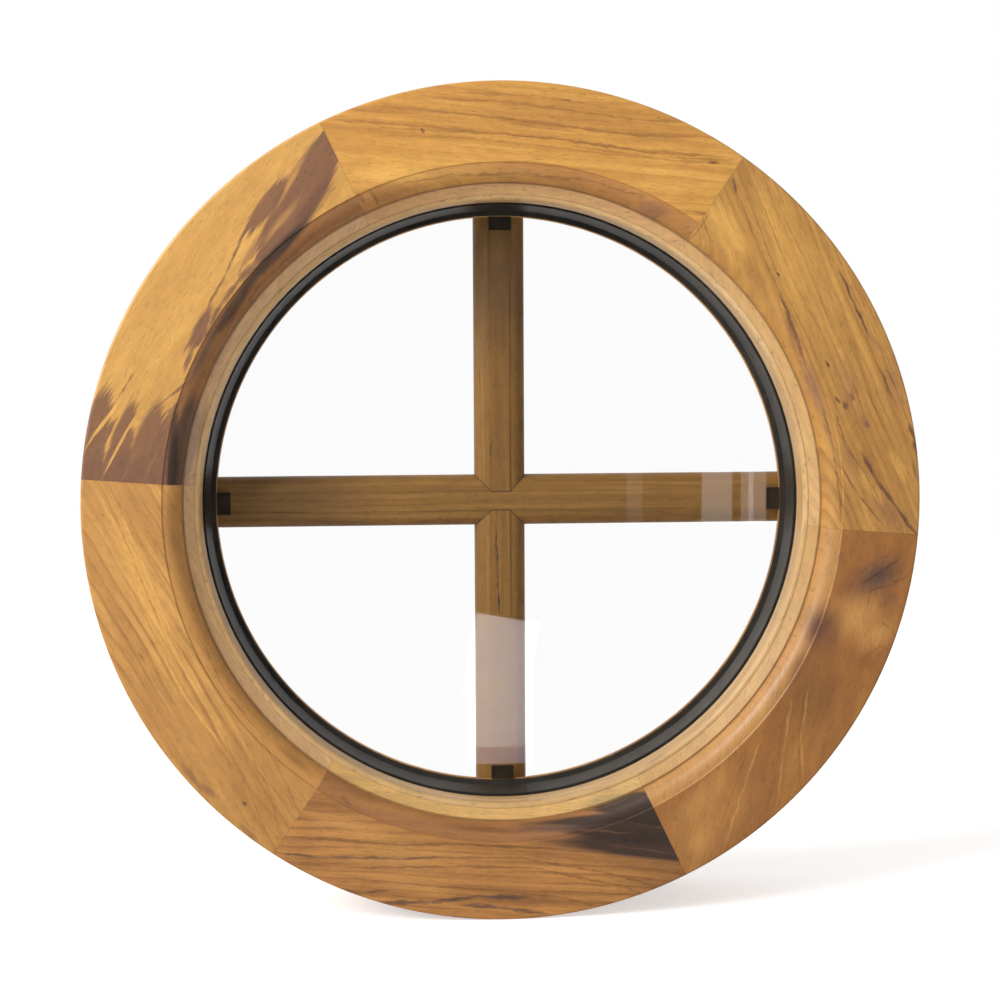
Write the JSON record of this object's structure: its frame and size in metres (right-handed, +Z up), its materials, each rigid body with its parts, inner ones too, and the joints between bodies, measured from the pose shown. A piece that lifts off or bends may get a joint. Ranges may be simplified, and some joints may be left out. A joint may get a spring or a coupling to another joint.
{
  "type": "round window",
  "caption": "Fixed round window: segmented hardwood ring with a moulded inner edge, double glass behind a bent bead, and a moulded cross of glazing bars behind it.",
  "frame": {"origin": "centre of the ring, halfway through its depth", "axes": "the face looks along -Y and the ring's axis is Y, +X is to the right as the face is seen, +Z is up, along the upright bars"},
  "size_m": [0.61, 0.102, 0.61],
  "materials": {
    "frame_timber": "oiled",
    "bar_timber": "oiled",
    "bead_timber": "oiled",
    "joint_timber": "raw",
    "clear_glass": "polished",
    "glazing_tape": "matte",
    "spacer": "satin",
    "sealant": "matte",
    "glass_blocks": "matte",
    "pad_rubber": "matte",
    "screw_brass": "satin"
  },
  "bodies": {
    "root": {"front_segment_top": "frame_timber", "front_segment_upper_right": "frame_timber", "front_segment_lower_right": "frame_timber", "front_segment_bottom": "frame_timber", "front_segment_lower_left": "frame_timber", "front_segment_upper_left": "frame_timber", "rear_segment_top": "frame_timber", "rear_segment_upper_right": "frame_timber", "rear_segment_lower_right": "frame_timber", "rear_segment_bottom": "frame_timber", "rear_segment_lower_left": "frame_timber", "rear_segment_upper_left": "frame_timber", "horizontal_bar": "bar_timber", "upper_bar": "bar_timber", "lower_bar": "bar_timber", "glazing_bead": "bead_timber", "bead_filler": "bead_timber", "front_splines": "joint_timber", "rear_splines": "joint_timber", "ring_dowels": "joint_timber", "cross_dowels": "joint_timber", "front_pane": "clear_glass", "rear_pane": "clear_glass", "front_glazing_tape": "glazing_tape", "rear_glazing_tape": "glazing_tape", "glass_spacer": "spacer", "edge_sealant": "sealant", "setting_blocks": "glass_blocks", "locating_blocks": "glass_blocks", "bar_pads": "pad_rubber", "bar_screws": "screw_brass"}
  },
  "joints": []
}
